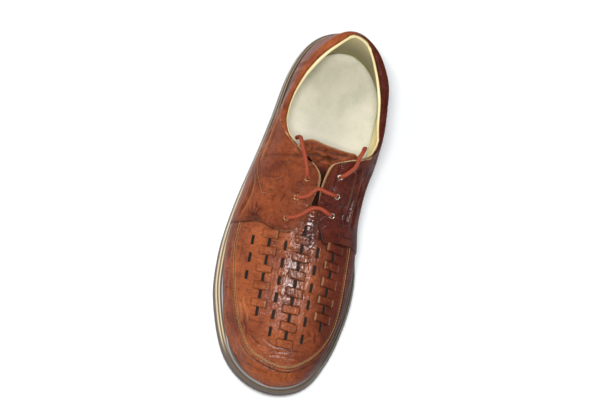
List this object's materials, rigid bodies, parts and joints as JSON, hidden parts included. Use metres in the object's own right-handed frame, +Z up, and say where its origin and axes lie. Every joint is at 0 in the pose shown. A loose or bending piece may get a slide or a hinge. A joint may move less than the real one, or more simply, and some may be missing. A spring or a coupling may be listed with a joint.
{
  "type": "leather shoe",
  "caption": "Brown leather lace-up derby for the right foot, with a woven apron on the vamp, a pale lined footbed and a moulded taupe unit sole.",
  "frame": {"origin": "centre of the shoe's box in plan, on the ground plane under the sole", "axes": "+Z up, +Y from toe to heel, +X to the medial side of this right shoe"},
  "size_m": [0.1122, 0.302, 0.0943],
  "materials": {
    "upper_leather": "glossy creased brown leather",
    "sole_rubber": "moulded satin taupe rubber",
    "sock_leather": "pale worn lining leather",
    "eyelet_metal": "bright nickel",
    "lace_cord": "round braided rust cord"
  },
  "bodies": {
    "root": {"outsole": "sole_rubber", "insole": "sock_leather", "upper": "upper_leather", "tongue": "upper_leather", "eyelet_lateral_top": "eyelet_metal", "eyelet_lateral_middle": "eyelet_metal", "eyelet_lateral_lower": "eyelet_metal", "eyelet_medial_top": "eyelet_metal", "eyelet_medial_middle": "eyelet_metal", "eyelet_medial_lower": "eyelet_metal", "lace_bar_middle": "lace_cord", "lace_bar_lower": "lace_cord", "lace_end_lateral": "lace_cord", "lace_end_medial": "lace_cord"}
  },
  "joints": []
}
